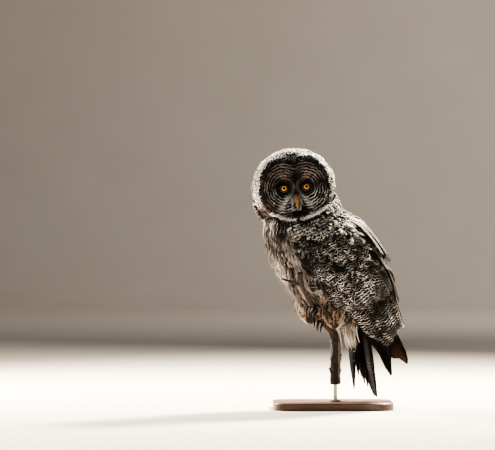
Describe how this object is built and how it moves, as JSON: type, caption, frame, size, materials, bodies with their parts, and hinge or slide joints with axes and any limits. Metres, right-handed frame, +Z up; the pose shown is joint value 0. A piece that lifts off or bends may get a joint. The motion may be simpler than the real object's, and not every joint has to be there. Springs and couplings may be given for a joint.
{
  "type": "great grey owl museum model",
  "caption": "Life-size perched great grey owl with folded wings and a round ringed face, on a cut sapling held by a flat base and rod.",
  "frame": {"origin": "centre of the display base's underside, on the floor", "axes": "+Z up, -Y the way the owl's face looks, the owl's body turned about 70 degrees from there towards -X"},
  "size_m": [0.3905, 0.2734, 0.65],
  "materials": {
    "plumage": "soft, matte body and wing feathers, grey-brown with fine pale bars",
    "face": "short matte face feathers in fine dark and pale rings",
    "flight": "smooth, faintly glossy long feathers, dark brown with broken pale bars",
    "down": "loose pale down on the legs and toes",
    "eye": "glass eye, clear and glossy over a yellow iris",
    "bill": "smooth horn, satin, dull yellow",
    "claw": "smooth black horn, satin",
    "bark": "sapling bark, rough, brown with dark and pale patches",
    "stand_wood": "dark stained hardwood, satin",
    "stand_steel": "turned steel, brushed"
  },
  "bodies": {
    "root": {"torso": "plumage", "neck": "plumage", "head": "face", "bill_upper": "bill", "bill_lower": "bill", "tail": "flight", "perch": "bark", "stand_base": "stand_wood", "stand_rod": "stand_steel", "eye_left": "eye", "wing_left": "plumage", "leg_left": "down", "foot_left": "down", "claw_left_1": "claw", "claw_left_2": "claw", "claw_left_3": "claw", "claw_left_4": "claw", "eye_right": "eye", "wing_right": "plumage", "leg_right": "down", "foot_right": "down", "claw_right_1": "claw", "claw_right_2": "claw", "claw_right_3": "claw", "claw_right_4": "claw"}
  },
  "joints": []
}
